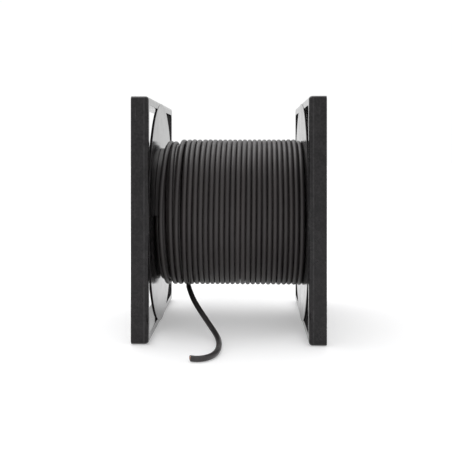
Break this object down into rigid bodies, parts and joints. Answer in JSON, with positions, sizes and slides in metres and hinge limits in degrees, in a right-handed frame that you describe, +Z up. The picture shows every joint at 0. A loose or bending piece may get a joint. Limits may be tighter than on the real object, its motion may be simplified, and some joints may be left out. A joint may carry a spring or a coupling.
{
  "type": "microphone cable drum",
  "caption": "Black plastic drum with square flanges, wound with black microphone cable whose cut free end lies on the floor in front.",
  "frame": {"origin": "on the floor, under the middle of the drum", "axes": "+X along the drum's axis, +Z up, the loose end of the cable towards -Y"},
  "size_m": [0.22, 0.3546, 0.28],
  "materials": {
    "drum_plastic": "black injection-moulded plastic, semi-gloss with fine scratches",
    "cable_jacket": "black flexible cable jacket, satin"
  },
  "bodies": {
    "root": {"flange_left": "drum_plastic", "flange_right": "drum_plastic", "barrel": "drum_plastic", "cable_winding": "cable_jacket", "cable_tail": "cable_jacket"}
  },
  "joints": []
}
